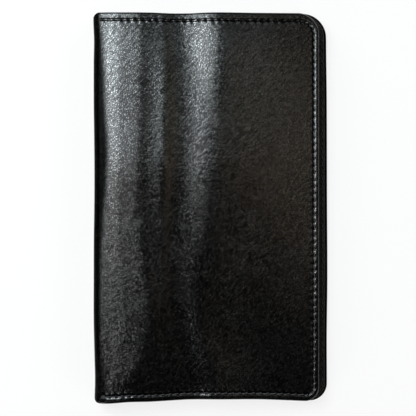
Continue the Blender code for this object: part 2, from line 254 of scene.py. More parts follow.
# Outer leather
frontSwell = {
    # height over the reach from the spine, in mm: the full roll beside the spine, a rib of slack leather, the card rows
    "roll": [
        (-1.5, 0), (1, 0.17), (3, 0.44), (5, 0.75), (7, 1.01), (9, 1.22), (11, 1.36), (13, 1.41), (16, 1.46),
        (19, 1.51), (21.5, 1.52), (24, 1.43), (30, 1.11), (45, 0.67), (60, 0.29), (80, 0), (103, 0),
    ],
    "rib": [(22, 0), (24.5, 0.04), (27, 0.20), (29.5, 0.39), (31.5, 0.44), (34, 0.22), (38, 0.08), (44, 0)],
    "stack": [
        (36, 0), (39, 0.09), (42, 0.25), (45, 0.47), (48, 0.73), (51, 0.97), (54, 1.14), (57, 1.24),
        (60, 1.24), (70, 1.06), (80, 0.82), (90, 0.44), (100.5, 0.02), (103, 0),
    ],
    "lift": [
        (-1.5, 0), (0, 0.3), (1.5, 0.8), (3, 1.04), (4, 1.06), (6, 1.03), (9, 1), (12, 1), (20, 0.97), (30, 0.7),
        (45, 0.4), (60, 0.18), (80, 0), (103, 0),
    ],
    "drawnAt": (20.5, 34, 56),  # reach of the slot edge, the valley and the crest in the curves above
    # where those really lie along the wallet: (place from the middle, reach), in mm
    "slotEdge": [
        (-89, 12), (-82, 14.5), (-75, 18.4), (-68, 21), (-60, 23.2), (-52, 24.4), (-42, 24.2), (-30, 22.2), (0, 19.0),
        (30, 20.1), (60, 20.6), (89, 20.1),
    ],
    "valley": [
        (-89, 42), (-75, 39.5), (-60, 36.5), (-45, 34.5), (-30, 33.7), (0, 34.5), (30, 35.9), (60, 35.8), (89, 35.2),
    ],
    "crest": [
        (-89, 57), (-75, 54), (-68, 51.5), (-60, 50), (-45, 50.5), (-30, 51.5), (-15, 53.9), (15, 56.1),
        (45, 57.8), (70, 58.8), (89, 57.8),
    ],
    # how full each one is along the wallet
    "rollShare": [
        (-89, 1.20), (-75, 1.10), (-60, 1.00), (-40, 0.99), (-20, 1.04), (0, 1.10), (20, 1.35), (40, 1.31), (60, 1.32),
        (75, 1.28), (89, 1.22),
    ],
    "ribShare": [
        (-89, 0), (-75, 0), (-60, 0.05), (-45, 0.12), (-33, 0.2), (-20, 0.33), (0, 0.6), (20, 1.04), (40, 1.22),
        (60, 1.25), (75, 0.75), (89, 0.6),
    ],
    "stackShare": [
        (-89, 0.42), (-75, 0.40), (-60, 0.38), (-40, 0.42), (-20, 0.53), (0, 0.75), (20, 1.08), (40, 1.27), (60, 1.55),
        (75, 1.8), (89, 1.5),
    ],
    "liftShare": [
        (-89, 1.41), (-81, 1.25), (-75, 1.11), (-68, 0.94), (-61, 0.77), (-52, 0.56), (-43, 0.37), (-33.5, 0.20),
        (-24, 0.07), (-15, 0), (89, 0),
    ],
    # a soft crease low on the cover: its place, half width on both sides and height
    "crease": [(-89, 54.6), (-81, 53.6), (-75, 52.6), (-68, 51.2), (-61, 50), (-52, 48.4), (-43, 47), (-30, 46)],
    "creaseHalf": (4.2, 15),
    "creaseShare": [(-89, 0.72), (-75, 0.55), (-60, 0.27), (-45, 0.07), (-35, 0), (89, 0)],
    # height, size and seed of the hide's slight unevenness
    "wander": (0.05 * mm, 24 * mm, 3.1),
    "ruffle": (0.020 * mm, 7 * mm, 8.4),
    "ruffleStretch": 0.7,
    "unevenStart": 6 * mm,  # reach past the fold over which it grows
    # how far the dull strip of the spine reaches onto the cover: (place from the middle, reach), in mm
    "spineStrip": [
        (-89, 2.4), (-73, 2.9), (-58, 3.4), (-44, 3.6), (-29, 3.8), (-15, 4.3), (0, 5.0), (15, 5.9), (29, 6.5),
        (44, 5.5), (58, 5.0), (73, 4.1), (89, 3.0),
    ],
    "stripSoft": 3.0,
}
seamRelief = {
    "pitch": 3.175 * mm,
    "start": 0.9 * mm,  # first needle hole, from where the cover starts
    "band": 6 * mm,  # width of the relief, from the edge
    "past": 2 * mm,  # how far it runs on past the end stitches
    "droop": 0.03 * mm,
    "droopShare": 0.7,  # share of the inset over which the edge droops
    "grooveHalf": 0.52 * mm,
    "slitHalf": 0.22 * mm,
    "slant": 0.44,
    "pucker": 0.10 * mm,
    "puckerPlace": 1.0 * mm,
    "puckerReach": 0.75 * mm,
    "puckerLean": 0.35,
    "puckerSink": 0.35,  # share of a pucker that lies below the plain leather
    "outerPucker": 0.04 * mm,
    "outerPlace": 0.9 * mm,
    "outerReach": 0.7 * mm,
}
seamStart = coverStart + seamRelief["start"]


@functools.lru_cache(maxsize=None)
def swellAlong(v):
    # where the swells lie and how full they are, at one place along the wallet
    lines = [curveThrough(frontSwell[line], v) for line in ("slotEdge", "valley", "crest", "crease")]
    names = ("rollShare", "ribShare", "stackShare", "liftShare", "creaseShare")
    return lines, [curveThrough(frontSwell[name], v) for name in names]


def coverSwell(half, u, v):
    # the broad shape of a cover over what lies under it
    reach = reachOf(u) / mm
    if half["side"] < 0 or reach <= frontSwell["roll"][0][0]:
        return 0.0
    (slotEdge, valley, crest, crease), shares = swellAlong(round(v / mm, 2))
    slotAt, valleyAt, crestAt = frontSwell["drawnAt"]
    drawn = [(slotEdge / 2, slotAt / 2), (slotEdge, slotAt), (valley, valleyAt), (crest, crestAt)]
    guided = curveThrough([(-2, -2), (3, 3), *drawn, (103, 103)], reach)
    level = sum(curveThrough(frontSwell[part], guided) * share for part, share in zip(("roll", "rib", "stack"), shares))
    level += curveThrough(frontSwell["lift"], reach) * shares[3]
    creaseHalf = frontSwell["creaseHalf"][reach > crease]
    return (level + hill(reach - crease, creaseHalf) * shares[4]) * mm


def evenPitch(length):
    # the pitch that leaves no short stitch at the end
    return length / round(length / seamRelief["pitch"])


def stitchRelief(half, u, v):
    # groove, needle holes and puckers along the outer seam
    inside, run = edgePlace(half, u, v)
    relief, length = seamRelief, edgeLength(half)
    first = seamStart - relief["past"]
    if inside > relief["band"] or not first < run < length - first:
        return 0.0
    inset = seamValue(half, run, "seamInset")
    across = inside - inset
    level = -relief["droop"] * max(0.0, 1 - inside / (relief["droopShare"] * inset)) ** 2
    level -= seamValue(half, run, "groove") * hill(across, relief["grooveHalf"])
    pitch = evenPitch(length - 2 * seamStart)
    step = (run - seamStart) / pitch
    along = (step - round(step)) * pitch
    turn = relief["slant"]
    long = math.cos(turn) * along + math.sin(turn) * across
    short = math.cos(turn) * across - math.sin(turn) * along
    slit = hill(long, seamValue(half, run, "slitLength")) * hill(short, relief["slitHalf"])
    level -= seamValue(half, run, "slit") * slit
    between = 0.5 - 0.5 * math.cos(2 * math.pi * (along - relief["puckerLean"] * across) / pitch)
    pucker = relief["pucker"] * (between - relief["puckerSink"])
    level += pucker * hill(across - relief["puckerPlace"], relief["puckerReach"])
    level += relief["outerPucker"] * (between - 0.5) * hill(across + relief["outerPlace"], relief["outerReach"])
    return level


def coverDetail(half, u, v):
    # seam relief and slight unevenness
    level = stitchRelief(half, u, v) - half["sunk"]
    uneven = ease((reachOf(u) - wallet["foldRadius"]) / frontSwell["unevenStart"])
    for name, stretch in (("wander", 1.0), ("ruffle", frontSwell["ruffleStretch"])):
        height, size, seed = frontSwell[name]
        level += height * wander(u, v * stretch, size, seed) * uneven
    return level


def leatherSheet(edge, halfHeight, topCorner, bottomCorner, cell, band):
    # flat sheet from the middle of the spine, finer in the fold and along its three free edges
    bm = bmesh.new()
    bmesh.ops.create_grid(bm, x_segments=round(edge / cell), y_segments=round(2 * halfHeight / cell), size=0.5)
    bmesh.ops.translate(bm, verts=bm.verts, vec=(0.5, 0, 0))
    bmesh.ops.scale(bm, verts=bm.verts, vec=(edge, 2 * halfHeight, 1))
    inFold = [
        seam for seam in bm.edges
        if abs(seam.verts[0].co.y - seam.verts[1].co.y) < cell / 10
        and wallRun - cell < min(vert.co.x for vert in seam.verts) < coverStart + cell
    ]
    bmesh.ops.subdivide_edges(bm, edges=inFold, cuts=wallet["foldCuts"], use_grid_fill=True)
    if band:
        fine = set()
        for face in bm.faces:
            middle = face.calc_center_median()
            if min(edge - middle.x, halfHeight - abs(middle.y)) < band and middle.x > coverStart:
                fine.update(face.edges)
        bmesh.ops.subdivide_edges(bm, edges=list(fine), cuts=wallet["edgeCuts"], use_grid_fill=True)
    for vert in bm.verts:
        radius = topCorner if vert.co.y > 0 else bottomCorner
        across = (vert.co.x - edge + radius) / radius
        up = (abs(vert.co.y) - halfHeight + radius) / radius
        if across > 0 and up > 0:
            vert.co.x = edge - radius + radius * across * math.sqrt(1 - up * up / 2)
            vert.co.y = math.copysign(halfHeight - radius + radius * up * math.sqrt(1 - across * across / 2), vert.co.y)
    return bm


def outwards(half, u, v):
    # direction out of the sheet at its rim
    radius = half["topCorner"] if v > 0 else half["bottomCorner"]
    du, dv = u - half["edge"] + radius, abs(v) - wallet["halfHeight"] + radius
    if du > 0 and dv > 0:
        return Vector((du, math.copysign(dv, v), 0)).normalized()
    return Vector((1, 0, 0)) if du > 0 else Vector((0, math.copysign(1, v), 0))


def rimOf(bm):
    return [seam for seam in bm.edges if seam.is_boundary and max(vert.co.x for vert in seam.verts) > 1e-6]


def extrudeRing(bm, ring):
    # the new vertices, and the ring of edges between them
    made = bmesh.ops.extrude_edge_only(bm, edges=ring)["geom"]
    grown = [part for part in made if isinstance(part, bmesh.types.BMVert)]
    found = set(grown)
    return grown, [part for part in made if isinstance(part, bmesh.types.BMEdge) and set(part.verts) <= found]


def turnIn(bm, half):
    # roll the rim of the sheet under, and carry it inwards as the hem
    roll, nose, steps = wallet["hemRoll"], wallet["hemNose"], wallet["hemSteps"]
    base = bm.verts.layers.float_vector["flatPlace"]
    ring = rimOf(bm)
    for step in range(1, steps + 1):
        moved, ring = extrudeRing(bm, ring)
        angle, last = math.pi * step / steps, math.pi * (step - 1) / steps
        for vert in moved:
            out = outwards(half, vert.co.x, vert.co.y)
            vert.co += out * nose * (math.sin(angle) - math.sin(last))
            vert.co.z -= roll * (math.cos(last) - math.cos(angle))
            vert[base].z = step / steps
    reached = nose
    for hem in wallet["hemRings"]:
        moved, ring = extrudeRing(bm, ring)
        shrink = (
            (half["edge"] - hem) / (half["edge"] - reached),
            (wallet["halfHeight"] - hem) / (wallet["halfHeight"] - reached),
            1,
        )
        bmesh.ops.scale(bm, verts=moved, vec=shrink)
        reached = hem


def pieceFrom(bm, name, materials):
    mesh = bpy.data.meshes.new(name)
    bm.to_mesh(mesh)
    bm.free()
    piece = bpy.data.objects.new(name, mesh)
    bpy.context.scene.collection.objects.link(piece)
    for material in materials:
        mesh.materials.append(material)
    mesh.shade_smooth()
    return piece


def thicken(piece, thickness):
    # give a sheet its thickness, away from the face that shows
    shell = piece.modifiers.new("thickness", "SOLIDIFY")
    shell.thickness = thickness
    shell.offset = -1
    evaluated = piece.evaluated_get(bpy.context.evaluated_depsgraph_get())
    finished = bpy.data.meshes.new_from_object(evaluated)
    finished.name = piece.name
    finished.set_sharp_from_angle(angle=wallet["sharpAngle"])
    piece.modifiers.clear()
    piece.data = finished


def outerCover(name, half, material):
    nose = wallet["hemNose"]
    edge, high = half["edge"] - nose, wallet["halfHeight"] - nose
    bm = leatherSheet(
        edge, high, half["topCorner"] - nose, half["bottomCorner"] - nose, wallet["sheetCell"], wallet["edgeBand"]
    )
    base = bm.verts.layers.float_vector.new("flatPlace")
    rubbed = bm.verts.layers.float.new("rubbed")
    for vert in bm.verts:
        vert[base] = (vert.co.x, vert.co.y, 0)
    turnIn(bm, half)
    slope, start = wallet["edgeDull"]
    for vert in bm.verts:
        u, v, turned = vert[base]
        strip = curveThrough(frontSwell["spineStrip"], v / mm) - reachOf(u) / mm
        vert[rubbed] = max(ease(0.5 + strip / frontSwell["stripSoft"]), ease(slope * turned - start))
        level = coverSwell(half, vert.co.x, vert.co.y)
        if turned < 1:
            level += coverDetail(half, u, v) * (1 - turned)
        vert.co = foldOver(half, vert.co.x, vert.co.y, vert.co.z + level)
    if half["side"] < 0:
        bmesh.ops.reverse_faces(bm, faces=bm.faces)
    piece = pieceFrom(bm, name, [material])
    thicken(piece, wallet["leather"])
    return piece


# Threads
thread = {
    "thickness": 0.42 * mm,
    "sides": 6,
    "steps": 7,
    "slant": 0.26 * mm,
    "hump": 0.12 * mm,
    "dip": 0.50 * mm,
    "fill": 0.95,  # share of the pitch
    "taper": 0.3,
    "seat": 0.2,  # share of the thickness above the leather
    "bow": 0.5,
    "twist": 0.35,
    "oval": (1.08, 0.9),
}


def stitchShape():
    # one stitch, along x, swept from a ring
    bm = bmesh.new()
    sides, steps = thread["sides"], thread["steps"]
    bmesh.ops.create_circle(bm, segments=sides, radius=0.5, cap_ends=True)
    bmesh.ops.rotate(bm, verts=bm.verts, matrix=Matrix.Rotation(math.pi / 2, 3, "Y"))
    ring = bm.edges[:]
    placed = Matrix.Identity(4)
    wide, flat = thread["oval"]
    for step in range(steps + 1):
        share = step / steps
        fromMiddle = 2 * share - 1
        size = thread["thickness"] * (1 - thread["taper"] * fromMiddle**4)
        height = thread["hump"] * (1 - fromMiddle**2) - thread["dip"] * fromMiddle**6
        centre = Vector((
            fromMiddle / 2 * seamRelief["pitch"] * thread["fill"],
            thread["slant"] * fromMiddle,
            thread["seat"] * thread["thickness"] + height,
        ))
        bow = Matrix.Rotation(thread["bow"] * fromMiddle**3, 4, "Y")
        twist = Matrix.Rotation(thread["twist"] * step, 4, "X")
        place = Matrix.Translation(centre) @ bow @ twist @ Matrix.Diagonal((size, size * wide, size * flat, 1))
        if step:
            moved, ring = extrudeRing(bm, ring)
        else:
            moved = bm.verts[:]
        bmesh.ops.transform(bm, matrix=place @ placed.inverted(), verts=moved)
        placed = place
    bmesh.ops.contextual_create(bm, geom=ring)
    bmesh.ops.recalc_face_normals(bm, faces=bm.faces)
    mesh = bpy.data.meshes.new("stitch")
    bm.to_mesh(mesh)
    bm.free()
    return mesh


def sew(name, half, places, lineAt, levelAt, material):
    # lineAt(run, outwards) gives a flat place and levelAt(half, u, v) the height of the leather there
    stitch = stitchShape()
    inwards = levelAt is not coverFace
    bm = bmesh.new()
    for place in places:
        before = len(bm.verts)
        bm.from_mesh(stitch)
        bm.verts.ensure_lookup_table()
        for vert in bm.verts[before:]:
            lineU, lineV = lineAt(place + vert.co.x, 0.0)
            u, v = lineAt(place + vert.co.x, vert.co.y)
            rise = -vert.co.z if inwards else vert.co.z
            vert.co = foldOver(half, u, v, levelAt(half, lineU, lineV) + rise)
    bmesh.ops.recalc_face_normals(bm, faces=bm.faces)
    bpy.data.meshes.remove(stitch)
    piece = pieceFrom(bm, name, [material])
    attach(piece, half["body"])
    return piece


def coverFace(half, u, v):
    # level of the thread's line in its groove
    return coverSwell(half, u, v) - seamValue(half, edgePlace(half, u, v)[1], "sink")


def stitchPlaces(start, length):
    # middles of the stitches of a seam
    pitch = evenPitch(length)
    return [start + (number + 0.5) * pitch for number in range(round(length / pitch))]


def outerSeam(name, half, material):
    places = stitchPlaces(seamStart, edgeLength(half) - 2 * seamStart)
    return sew(name, half, places, lambda run, out: seamPlace(half, run, out), coverFace, material)


# Inside
inside = {  # plain numbers are reaches in mm
    "inset": 1.3 * mm,  # edge of the inner leather to the cover's edge
    "seamInset": 2.5 * mm,
    "panelMouth": 10.5,
    "panelDepth": 3.1 * mm,
    "panelLeather": 1.0 * mm,
    "pocketDepth": 4.4 * mm,
    "pocketLeather": 0.9 * mm,
    "shortMouth": 46.0,
    "slotMouths": (20.0, 33.0, 46.0),
    "slotLeather": 0.7 * mm,
    "slotRise": 1.0 * mm,
    "slotStrip": 18.0,
    "cardWidth": 55.5,
    "clothGap": 0.3,
    "slotCloth": 0.3 * mm,
    "liningDepth": 2.4 * mm,
    "liningCloth": 0.35 * mm,
    "clothFollow": 0.45,  # share of the swell that the lining follows beside the spine
    "clothTurn": (3, 7),  # where that share starts to grow, and over what reach
    "edgeRound": 0.22 * mm,
    "crease": 0.16 * mm,
    "creaseHalf": 0.35 * mm,
    "notchHalf": 11.5 * mm,
    "notchDepth": 8.0 * mm,
    "notchTaper": 0.72,
    "notchRounds": (2.5 * mm, 5.0 * mm),  # at its mouth and at its floor
    "sharpAngle": math.radians(40),
    "stepHalf": 0.8,
    "seamLead": 0.5,  # from the mouth of the panel to the first stitch
    "dividerLead": 1.0,
    "follow": 0.75,  # how much of the cover's swell the pockets take part in
    "strip": 5.5 * mm,
    "boardDepth": 0.95 * mm,
    "boardThick": 1.2 * mm,
    "boardInset": 4.0 * mm,
    "boardCorner": 3.0 * mm,
    "sheetCell": 3.0 * mm,
}


def insidePlace(half, u, v, w):
    return foldOver(half, u, v, w + inside["follow"] * coverSwell(half, u, v))


def innerPiece(name, half, mouth, end, depth, thickness, materials, notched=False):
    # a flat piece of leather or cloth, laid down from its depth inwards, with a creased line round its edge
    left = flatRun(mouth * mm)
    reachesEdge = end is None
    right = half["edge"] - inside["inset"] if reachesEdge else flatRun(end * mm)
    high = wallet["halfHeight"] - inside["inset"]
    corners = [(left, -high), (right, -high), (right, high), (left, high)]
    if notched:
        deep, wide = left + inside["notchDepth"], inside["notchHalf"]
        narrow = wide * inside["notchTaper"]
        corners += [(left, wide), (deep, narrow), (deep, -narrow), (left, -wide)]
    bm = bmesh.new()
    verts = [bm.verts.new((u, v, 0)) for u, v in corners]
    bm.faces.new(verts)
    if reachesEdge:
        for vert, radius in ((verts[1], half["bottomCorner"]), (verts[2], half["topCorner"])):
            roundCorner(bm, [vert], radius - inside["inset"])
    if notched:
        atMouth, atFloor = inside["notchRounds"]
        roundCorner(bm, verts[5:7], atFloor)
        roundCorner(bm, [verts[4], verts[7]], atMouth)
    floor = bm.faces[:]
    top = bmesh.ops.extrude_face_region(bm, geom=floor)["geom"]
    raised = [part for part in top if isinstance(part, bmesh.types.BMVert)]
    bmesh.ops.translate(bm, verts=raised, vec=(0, 0, -thickness))
    bmesh.ops.recalc_face_normals(bm, faces=bm.faces)
    shown = min(bm.faces, key=lambda face: face.calc_center_median().z)
    rim = list(shown.edges)
    bmesh.ops.bevel(bm, geom=rim, offset=inside["edgeRound"], segments=3, profile=0.5, affect="EDGES", material=-1)
    for face in bm.faces:
        if abs(face.normal.z) < 0.5:
            face.material_index = min(1, len(materials) - 1)
    bm.faces.ensure_lookup_table()
    shown = min(bm.faces, key=lambda face: (round(face.calc_center_median().z, 7), -face.calc_area()))
    seamIn = inside["seamInset"] - inside["inset"] - inside["edgeRound"]
    creaseHalf, crease = inside["creaseHalf"], inside["crease"]
    for width, sink in ((seamIn - creaseHalf, 0), (creaseHalf, crease), (creaseHalf, -crease)):
        bmesh.ops.inset_region(bm, faces=[shown], thickness=width, depth=0, use_even_offset=True)
        for vert in shown.verts:
            vert.co.z += sink
    cutInStrips(bm, inside["strip"])
    bmesh.ops.triangulate(bm, faces=[face for face in bm.faces if len(face.verts) > 4])
    for vert in bm.verts:
        vert.co = insidePlace(half, vert.co.x, vert.co.y, vert.co.z - depth)
    bmesh.ops.recalc_face_normals(bm, faces=bm.faces)
    piece = pieceFrom(bm, name, materials)
    piece.data.set_sharp_from_angle(angle=inside["sharpAngle"])
    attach(piece, half["body"])
    return piece


def cutInStrips(bm, width):
    # so that a flat piece can follow the swell
    for axis, step in ((Vector((1, 0, 0)), width), (Vector((0, 1, 0)), 2 * width)):
        places = [vert.co.dot(axis) for vert in bm.verts]
        low, high = min(places), max(places)
        count = max(2, round((high - low) / step))
        for number in range(1, count):
            cut = low + (high - low) * number / count
            everything = bm.verts[:] + bm.edges[:] + bm.faces[:]
            bmesh.ops.bisect_plane(bm, geom=everything, plane_co=axis * cut, plane_no=axis)


def roundCorner(bm, verts, radius):
    bmesh.ops.bevel(bm, geom=verts, offset=radius, segments=8, profile=0.5, affect="VERTICES", material=-1)


def pocketFace(half, u, v):
    # depth of the topmost inner leather at a place
    reach = reachOf(u) / mm
    steps = [(inside["panelMouth"], inside["panelDepth"] + inside["panelLeather"])]
    if half["side"] > 0:
        for number, mouth in enumerate(inside["slotMouths"]):
            steps.append((mouth, inside["pocketDepth"] + number * inside["slotRise"] + inside["slotLeather"]))
    else:
        steps.append((inside["shortMouth"], inside["pocketDepth"] + inside["pocketLeather"]))
    level, stepHalf = steps[0][1], inside["stepHalf"]
    for (_, lower), (mouth, upper) in zip(steps, steps[1:]):
        level += (upper - lower) * ease((reach - mouth + stepHalf) / (2 * stepHalf))
    return -level + inside["crease"] + inside["follow"] * coverSwell(half, u, v)


def innerSeam(name, half, material):
    start = flatRun((inside["panelMouth"] + inside["seamLead"]) * mm)
    places = stitchPlaces(start, edgeLength(half) - 2 * start)
    plain = dict(half, seamInset=3 * (inside["seamInset"],))
    return sew(name, half, places, lambda run, out: seamPlace(plain, run, out), pocketFace, material)


def dividerSeam(name, half, material):
    start = flatRun((inside["slotMouths"][0] + inside["dividerLead"]) * mm)
    end = half["edge"] - inside["seamInset"] - inside["dividerLead"] * mm
    return sew(name, half, stitchPlaces(start, end - start), lambda run, out: (run, out), pocketFace, material)


def stiffBoard(name, half, material):
    # board glued behind the cover, under the hems
    inset = inside["boardInset"]
    edge, high = half["edge"] - inset, wallet["halfHeight"] - inset
    corner = inside["boardCorner"]
    bm = leatherSheet(edge, high, corner, corner, inside["sheetCell"], 0)
    start = coverStart + inset
    bmesh.ops.bisect_plane(
        bm, geom=bm.verts[:] + bm.edges[:] + bm.faces[:], plane_co=(start, 0, 0), plane_no=(-1, 0, 0), clear_outer=True
    )
    for vert in bm.verts:
        u, v = vert.co.x, vert.co.y
        vert.co = foldOver(half, u, v, coverSwell(half, u, v) - inside["boardDepth"])
    if half["side"] < 0:
        bmesh.ops.reverse_faces(bm, faces=bm.faces)
    piece = pieceFrom(bm, name, [material])
    thicken(piece, inside["boardThick"])
    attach(piece, half["body"])
    return piece


def liningSwell(half, u, v):
    # the cloth bridges part of the swell, most of all beside the spine
    least, (start, span) = inside["clothFollow"], inside["clothTurn"]
    share = least + (inside["follow"] - least) * ease((reachOf(u) / mm - start) / span)
    return coverSwell(half, u, v) * share


def liningSheet(name, half, material):
    # cloth over the board and hems, from the middle of the spine to just inside the edges
    inset = inside["inset"]
    edge, high = half["edge"] - inset, wallet["halfHeight"] - inset
    bm = leatherSheet(edge, high, half["topCorner"] - inset, half["bottomCorner"] - inset, inside["sheetCell"], 0)
    for vert in bm.verts:
        u, v = vert.co.x, vert.co.y
        vert.co = foldOver(half, u, v, liningSwell(half, u, v) - inside["liningDepth"])
    if half["side"] < 0:
        bmesh.ops.reverse_faces(bm, faces=bm.faces)
    piece = pieceFrom(bm, name, [material])
    thicken(piece, inside["liningCloth"])
    return piece


# Finishes
def newMaterial(name, colour, roughness):
    material = bpy.data.materials.new(name)
    material.use_nodes = True
    shader = material.node_tree.nodes["Principled BSDF"]
    shader.inputs["Base Color"].default_value = (*colour, 1)
    shader.inputs["Roughness"].default_value = roughness
    return material, material.node_tree, shader


def node(tree, kind, inputs=None, **settings):
    made = tree.nodes.new(kind)
    for key, value in settings.items():
        setattr(made, key, value)
    for socket, value in (inputs or {}).items():
        if isinstance(value, bpy.types.NodeSocket):
            tree.links.new(value, made.inputs[socket])
        else:
            made.inputs[socket].default_value = value
    return made


def placeOn(tree, turn=0.0, stretch=(1, 1, 1)):
    coordinates = node(tree, "ShaderNodeTexCoord")
    turned = node(tree, "ShaderNodeMapping", {"Vector": coordinates.outputs["Object"], "Rotation": (0, 0, turn)})
    return node(tree, "ShaderNodeMapping", {"Vector": turned.outputs[0], "Scale": stretch}).outputs[0]


def softNoise(tree, place, scale, detail=2.0, roughness=0.5):
    return node(
        tree, "ShaderNodeTexNoise", {"Vector": place, "Scale": scale, "Detail": detail, "Roughness": roughness}
    ).outputs["Fac"]


def sums(tree, operation, first, second):
    return node(tree, "ShaderNodeMath", {0: first, 1: second}, operation=operation).outputs[0]


def spread(tree, value, low, high, toLow=0.0, toHigh=1.0):
    return node(
        tree, "ShaderNodeMapRange", {"Value": value, 1: low, 2: high, 3: toLow, 4: toHigh}, clamp=True
    ).outputs[0]


def shaded(tree, share, colour, towards):
    inputs = {"Factor": share, 6: colour, 7: (*towards, 1)}
    return node(tree, "ShaderNodeMix", inputs, data_type="RGBA").outputs[2]


def tints(tree, share, first, second):
    return shaded(tree, share, (*first, 1), second)


def emboss(tree, shader, height, depth, strength=1.0):
    # a bump over those that the shader already has
    bump = node(tree, "ShaderNodeBump", {"Height": height, "Strength": strength, "Distance": depth})
    for link in list(shader.inputs["Normal"].links):
        tree.links.new(link.from_socket, bump.inputs["Normal"])
    tree.links.new(bump.outputs[0], shader.inputs["Normal"])


def twoTone(tree, shader, share, first, second):
    tree.links.new(tints(tree, share, first, second), shader.inputs["Base Color"])


def scaled(colour, share):
    return tuple(share * part for part in colour)


coverLeather = {
    "black": (0.0003, 0.0003, 0.0003),
    "warmBlack": (0.0012, 0.0010, 0.0009),
    "warmScale": 21,
    # how far the colour is darkened in the pores and wrinkle troughs, as painted shade
    "paintedPoreShade": 1.0,
    "roughness": (0.14, 0.20),
    "cloudScale": 38,
    "pebbleRoughness": 0.03,
    "gloss": (0.13, 1.0),  # specular level in the pores and on the brightest pebbles
    "pebbleScale": 1550,
    "pebbleStretch": (0.60, 1.15, 1.0),
    "pebbleFlank": 0.30,
    "pebbleGloss": (0.45, 1.30),  # dull and bright pebbles
    "pebbleHeight": 0.014 * mm,
    "mottleScale": 1250,
    "mottle": (0.80, 1.20),  # share of the gloss in dull and in bright spots
    "wrinkleTurn": -0.80,
    "wrinkleStretch": (330, 1500, 900),
    "wrinkleHeight": 0.029 * mm,
    "wrinkleShine": 1.3,
    "wrinklePatches": 48,
    "scratchTurn": -0.45,
    "scratchStretch": (150, 1700, 900),
    "scratchShare": (0.985, 0.99),  # only few of the cells hold a scratch
    "onCover": True,
    # where the leather is rubbed dull: share of its gloss, added roughness, and specks of worn colour
    "rubbedGloss": 0.08,
    "rubbedRoughness": 0.17,
    "worn": (0.012, 0.008, 0.006),
    "wornScale": 420,
}


def coverFinish(name, look):
    # semi-gloss smooth hide: fine pebbles parted by pores, short slanting wrinkles, cloudy gloss, and painted shade
    # that darkens the colour in the pores and wrinkle troughs
    material, tree, shader = newMaterial(name, look["black"], look["roughness"][0])
    plain = placeOn(tree)
    slanted = placeOn(tree, look["wrinkleTurn"], look["pebbleStretch"])
    settings = {"Vector": slanted, "Scale": look["pebbleScale"], "Randomness": 1.0}
    edges = node(tree, "ShaderNodeTexVoronoi", settings, feature="DISTANCE_TO_EDGE").outputs["Distance"]
    pebbles = spread(tree, edges, 0.0, look["pebbleFlank"])
    pebbleColour = node(tree, "ShaderNodeTexVoronoi", settings, feature="F1").outputs["Color"]
    tone = node(tree, "ShaderNodeSeparateColor", {0: pebbleColour}).outputs[0]
    wrinkles = softNoise(tree, placeOn(tree, look["wrinkleTurn"], look["wrinkleStretch"]), 1.0, 1.0, 0.5)
    wrinkled = spread(tree, softNoise(tree, plain, look["wrinklePatches"], 2.0), 0.42, 0.60, 0.15, 1.0)
    emboss(tree, shader, pebbles, look["pebbleHeight"])
    emboss(tree, shader, sums(tree, "MULTIPLY", wrinkles, wrinkled), look["wrinkleHeight"])
    lines = sums(tree, "MULTIPLY", sums(tree, "SUBTRACT", wrinkles, 0.5), wrinkled)
    shine = sums(tree, "MULTIPLY", pebbles, spread(tree, tone, 0.0, 1.0, *look["pebbleGloss"]))
    shine = sums(tree, "ADD", shine, sums(tree, "MULTIPLY", lines, look["wrinkleShine"]))
    # a few short scratches
    marks = {"Vector": placeOn(tree, look["scratchTurn"], look["scratchStretch"]), "Scale": 1.0}
    mark = node(tree, "ShaderNodeTexVoronoi", marks, feature="F1").outputs
    chosen = node(tree, "ShaderNodeSeparateColor", {0: mark["Color"]}).outputs[1]
    middle = spread(tree, mark["Distance"], 0.08, 0.30, 1.0, 0.0)
    shine = sums(tree, "ADD", shine, sums(tree, "MULTIPLY", middle, spread(tree, chosen, *look["scratchShare"])))
    gloss = spread(tree, shine, 0.0, 1.15, *look["gloss"])
    spots = softNoise(tree, slanted, look["mottleScale"], 2.0, 0.6)
    gloss = sums(tree, "MULTIPLY", gloss, spread(tree, spots, 0.35, 0.65, *look["mottle"]))
    matt = spread(tree, softNoise(tree, plain, look["cloudScale"], 4.0, 0.6), 0.3, 0.7, *look["roughness"])
    change = look["pebbleRoughness"]
    matt = sums(tree, "ADD", matt, spread(tree, tone, 0.0, 1.0, -change, change))
    warm = spread(tree, softNoise(tree, plain, look["warmScale"], 3.0), 0.4, 0.7)
    colour = tints(tree, warm, look["black"], look["warmBlack"])
    # painted shade: the colour is darkened towards black in the pores and wrinkle troughs, less on the bright pebbles
    # and scratches; the random tone of each pebble also takes part
    colour = shaded(tree, spread(tree, shine, 0.1, 1.1, look["paintedPoreShade"], 0.0), colour, (0, 0, 0))
    if look["onCover"]:
        rubbed = node(tree, "ShaderNodeAttribute", attribute_name="rubbed").outputs["Fac"]
        gloss = sums(tree, "MULTIPLY", gloss, spread(tree, rubbed, 0.0, 1.0, 1.0, look["rubbedGloss"]))
        matt = sums(tree, "ADD", matt, sums(tree, "MULTIPLY", rubbed, look["rubbedRoughness"]))
        specks = spread(tree, softNoise(tree, plain, look["wornScale"], 3.0, 0.7), 0.60, 0.72)
        colour = shaded(tree, sums(tree, "MULTIPLY", rubbed, specks), colour, look["worn"])
    tree.links.new(gloss, shader.inputs["Specular IOR Level"])
    tree.links.new(matt, shader.inputs["Roughness"])
    tree.links.new(colour, shader.inputs["Base Color"])
    return material


